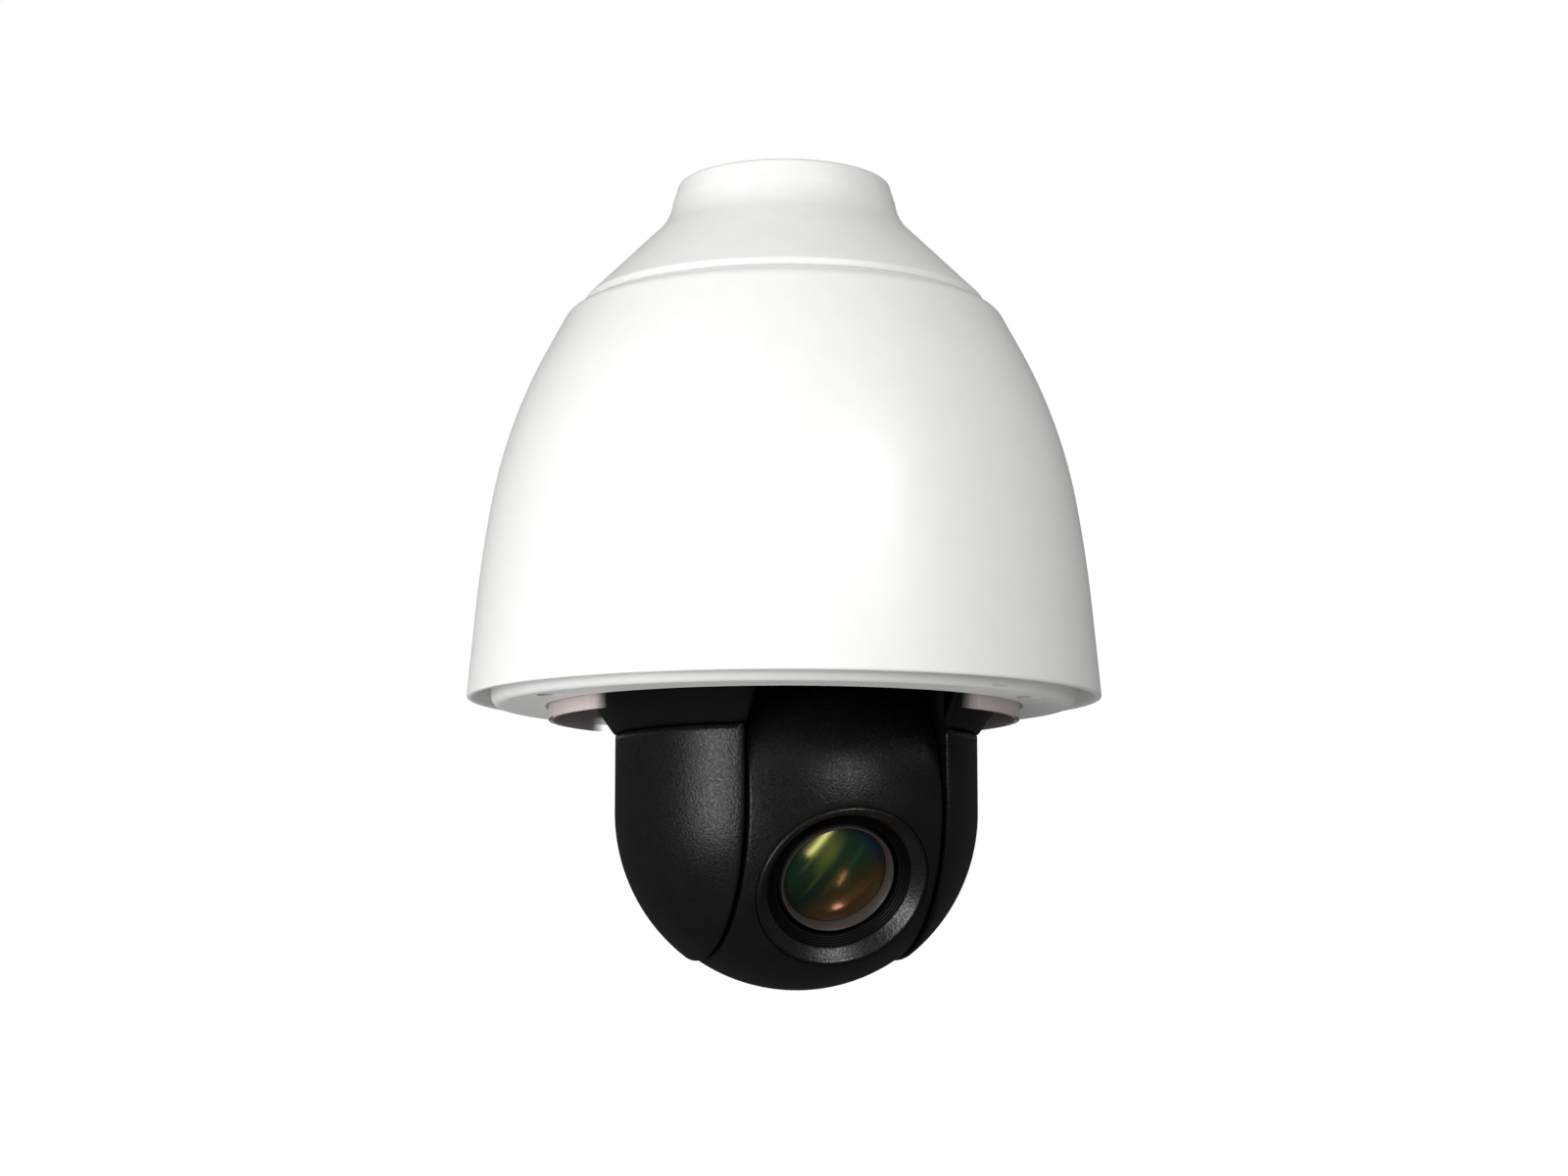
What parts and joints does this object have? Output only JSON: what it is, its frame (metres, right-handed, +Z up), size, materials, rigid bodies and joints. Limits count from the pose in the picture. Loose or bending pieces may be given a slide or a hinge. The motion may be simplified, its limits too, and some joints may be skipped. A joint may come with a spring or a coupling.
{
  "type": "pan-tilt-zoom camera",
  "caption": "Outdoor pan-tilt-zoom camera that hangs from a threaded pipe: bell-shaped white sunshield over a black head whose ball holds a zoom lens between two arms.",
  "frame": {"origin": "centre of the pipe thread's mouth in the neck's top face", "axes": "+Z up along the pipe and the pan axis; -Y is the front, where the lens looks at rest, turned 19 degrees towards +X"},
  "size_m": [0.22, 0.22, 0.2838],
  "materials": {
    "white_cast": "die-cast, white powder coat",
    "white_shell": "white, satin",
    "cast_case": "cast",
    "black_plastic": "fine grain",
    "machined_alloy": "machined",
    "screw_steel": "plain",
    "black_screw": "blackened",
    "gasket_rubber": "moulded",
    "pale_silicone": "translucent",
    "belt_rubber": "moulded",
    "motor_case": "satin",
    "dark_moulding": "plain",
    "copper_ring": "plain",
    "circuit_board": "soldermask",
    "jack_steel": "plated",
    "terminal_green": "moulded",
    "brass": "turned",
    "bush_plastic": "machined",
    "lens_ring": "satin anodised",
    "lens_glass": "coated",
    "lens_carrier": "plain",
    "filter_glass": "coated"
  },
  "bodies": {
    "housing": {"neck_cap": "white_cast", "pipe_lock_screw": "screw_steel", "cap_gasket": "gasket_rubber", "cap_screws": "screw_steel", "sunshield": "white_shell", "housing_can": "cast_case", "cable_grommet": "gasket_rubber", "trim_ring": "white_cast", "ring_screws": "screw_steel", "ring_seal": "gasket_rubber", "pan_seal": "pale_silicone", "chassis_plate": "cast_case", "chassis_screws": "screw_steel", "bearing_housing": "cast_case", "pan_bearing_outer": "screw_steel", "pan_motor": "motor_case", "pan_belt": "belt_rubber", "slip_ring_stator": "dark_moulding", "slip_ring_bracket": "cast_case", "main_board": "circuit_board", "board_chips": "dark_moulding", "ethernet_jack": "jack_steel", "terminal_block": "terminal_green", "board_standoffs": "brass", "fan_frame": "dark_moulding", "heater_block": "cast_case"},
    "fan": {"fan_rotor": "dark_moulding"},
    "bearing_cage": {"pan_bearing_balls": "screw_steel"},
    "pan_drive": {"pan_motor_pulley": "machined_alloy"},
    "head": {"pan_hub": "machined_alloy", "pan_bearing_inner": "screw_steel", "pan_pulley": "machined_alloy", "pan_turntable": "black_plastic", "pan_skirt": "black_plastic", "slip_ring_rotor": "copper_ring", "yoke_plates": "machined_alloy", "arm_cover_left": "black_plastic", "arm_cover_right": "black_plastic", "arm_cover_screws": "screw_steel", "tilt_motor": "motor_case", "tilt_belt": "belt_rubber", "tilt_bush_left": "bush_plastic", "tilt_bush_right": "bush_plastic", "tilt_driver_board": "circuit_board"},
    "tilt_drive": {"tilt_motor_pulley": "machined_alloy"},
    "ball": {"ball_front": "black_plastic", "ball_rear": "black_plastic", "ball_screws": "black_screw", "tilt_shaft_left": "screw_steel", "tilt_shaft_right": "screw_steel", "tilt_pulley": "machined_alloy", "camera_bracket": "machined_alloy", "camera_body": "dark_moulding", "lens_barrel": "dark_moulding", "lens_hood": "black_plastic", "lens_front_ring": "lens_ring", "front_glass": "lens_glass"},
    "zoom": {"zoom_group": "lens_carrier"},
    "focus": {"focus_group": "lens_carrier"},
    "ir_cut": {"ir_filter": "filter_glass"}
  },
  "joints": [
    {"name": "pan", "type": "hinge", "parent": "housing", "child": "head", "pos_m": [0, 0, -0.159], "axis": [0, 0, 1], "continuous": true},
    {"name": "tilt", "type": "hinge", "parent": "head", "child": "ball", "pos_m": [0, 0, -0.2225], "axis": [0.9455, 0.3256, 0], "range_deg": [-35, 155]},
    {"name": "fan_spin", "type": "hinge", "parent": "housing", "child": "fan", "pos_m": [-0.05, 0, -0.129], "axis": [0, 0, 1], "continuous": true},
    {"name": "bearing_roll", "type": "hinge", "parent": "housing", "child": "bearing_cage", "pos_m": [0, 0, -0.1275], "axis": [0, 0, 1], "continuous": true},
    {"name": "pan_motor_spin", "type": "hinge", "parent": "housing", "child": "pan_drive", "pos_m": [0.052, 0, -0.144], "axis": [0, 0, 1], "continuous": true},
    {"name": "tilt_motor_spin", "type": "hinge", "parent": "head", "child": "tilt_drive", "pos_m": [-0.04633, -0.01595, -0.182], "axis": [0.9455, 0.3256, 0], "continuous": true},
    {"name": "zoom_travel", "type": "slide", "parent": "ball", "child": "zoom", "axis": [0.282, -0.8188, -0.5], "range_m": [-0.006, 0.01]},
    {"name": "focus_travel", "type": "slide", "parent": "ball", "child": "focus", "axis": [0.282, -0.8188, -0.5], "range_m": [-0.005, 0.006]},
    {"name": "ir_filter_swap", "type": "slide", "parent": "ball", "child": "ir_cut", "axis": [0.9455, 0.3256, 0], "range_m": [0, 0.012]}
  ],
  "couplings": [
    {"joint": "bearing_roll", "follows": "pan", "ratio": 0.42677},
    {"joint": "pan_motor_spin", "follows": "pan", "ratio": 4.2857},
    {"joint": "tilt_motor_spin", "follows": "tilt", "ratio": 3}
  ]
}
